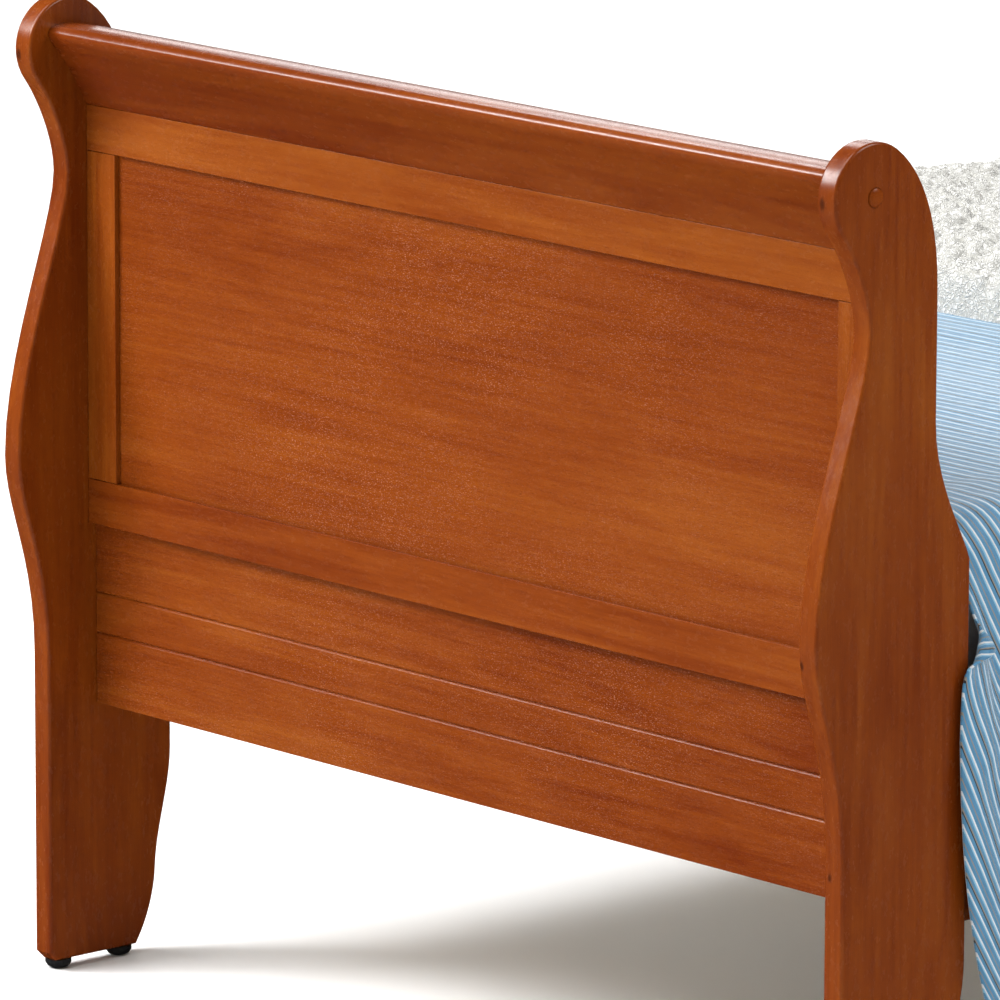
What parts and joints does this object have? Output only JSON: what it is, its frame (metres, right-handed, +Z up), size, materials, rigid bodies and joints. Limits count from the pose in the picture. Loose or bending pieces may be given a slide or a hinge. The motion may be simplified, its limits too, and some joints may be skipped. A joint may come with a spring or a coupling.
{
  "type": "sleigh bed",
  "caption": "Single sleigh bed with scrolled posts, panelled footboard and headboard, hook-on side rails, slats, foundation, mattress, striped bedspread and curly throw.",
  "frame": {"origin": "on the floor, under the middle of the bed", "axes": "+X across the bed, +Y from the footboard to the headboard, +Z up"},
  "size_m": [1.1226, 2.15, 1.223],
  "materials": {
    "stained_wood": "orange-brown stained hardwood and veneer, semi-gloss lacquer",
    "slat_wood": "planed unfinished softwood",
    "zinc_steel": "zinc-plated pressed steel",
    "glide_plastic": "black nylon",
    "foundation_cloth": "plain woven ticking",
    "mattress_cloth": "knitted ticking",
    "bedspread_cloth": "woven cotton with fine blue, white and dark stripes",
    "throw_cloth": "curly off-white pile"
  },
  "bodies": {
    "bedstead": {"footboard_post_left": "stained_wood", "footboard_plug_left": "stained_wood", "footboard_crest_screw_left": "zinc_steel", "footboard_glide_left_outer": "glide_plastic", "footboard_glide_left_inner": "glide_plastic", "footboard_stile_left": "stained_wood", "footboard_slot_plate_left": "zinc_steel", "footboard_post_right": "stained_wood", "footboard_plug_right": "stained_wood", "footboard_crest_screw_right": "zinc_steel", "footboard_glide_right_outer": "glide_plastic", "footboard_glide_right_inner": "glide_plastic", "footboard_stile_right": "stained_wood", "footboard_slot_plate_right": "zinc_steel", "footboard_crest_rail": "stained_wood", "footboard_upper_rail": "stained_wood", "footboard_mid_rail": "stained_wood", "footboard_panel": "stained_wood", "footboard_apron": "stained_wood", "headboard_post_left": "stained_wood", "headboard_plug_left": "stained_wood", "headboard_crest_screw_left": "zinc_steel", "headboard_glide_left_outer": "glide_plastic", "headboard_glide_left_inner": "glide_plastic", "headboard_stile_left": "stained_wood", "headboard_slot_plate_left": "zinc_steel", "headboard_post_right": "stained_wood", "headboard_plug_right": "stained_wood", "headboard_crest_screw_right": "zinc_steel", "headboard_glide_right_outer": "glide_plastic", "headboard_glide_right_inner": "glide_plastic", "headboard_stile_right": "stained_wood", "headboard_slot_plate_right": "zinc_steel", "headboard_crest_rail": "stained_wood", "headboard_upper_rail": "stained_wood", "headboard_mid_rail": "stained_wood", "headboard_panel": "stained_wood", "headboard_apron": "stained_wood"},
    "rail_set": {"side_rail_left": "stained_wood", "ledger_left": "slat_wood", "footboard_rail_hook_left": "zinc_steel", "headboard_rail_hook_left": "zinc_steel", "side_rail_right": "stained_wood", "ledger_right": "slat_wood", "footboard_rail_hook_right": "zinc_steel", "headboard_rail_hook_right": "zinc_steel", "slat_1": "slat_wood", "slat_2": "slat_wood", "slat_3": "slat_wood", "slat_4": "slat_wood"},
    "bedding": {"foundation": "foundation_cloth", "mattress": "mattress_cloth", "bedspread_top": "bedspread_cloth", "footboard_bedspread_flap": "bedspread_cloth", "headboard_bedspread_flap": "bedspread_cloth", "bedspread_drop_left": "bedspread_cloth", "bedspread_drop_right": "bedspread_cloth", "throw_top": "throw_cloth", "throw_end_left": "throw_cloth", "throw_end_right": "throw_cloth"}
  },
  "joints": [
    {"name": "rail_unhook", "type": "slide", "parent": "bedstead", "child": "rail_set", "axis": [0, 0, 1], "range_m": [0, 0.01]},
    {"name": "mattress_lift", "type": "slide", "parent": "rail_set", "child": "bedding", "axis": [0, 0, 1], "range_m": [0, 0.4]}
  ]
}
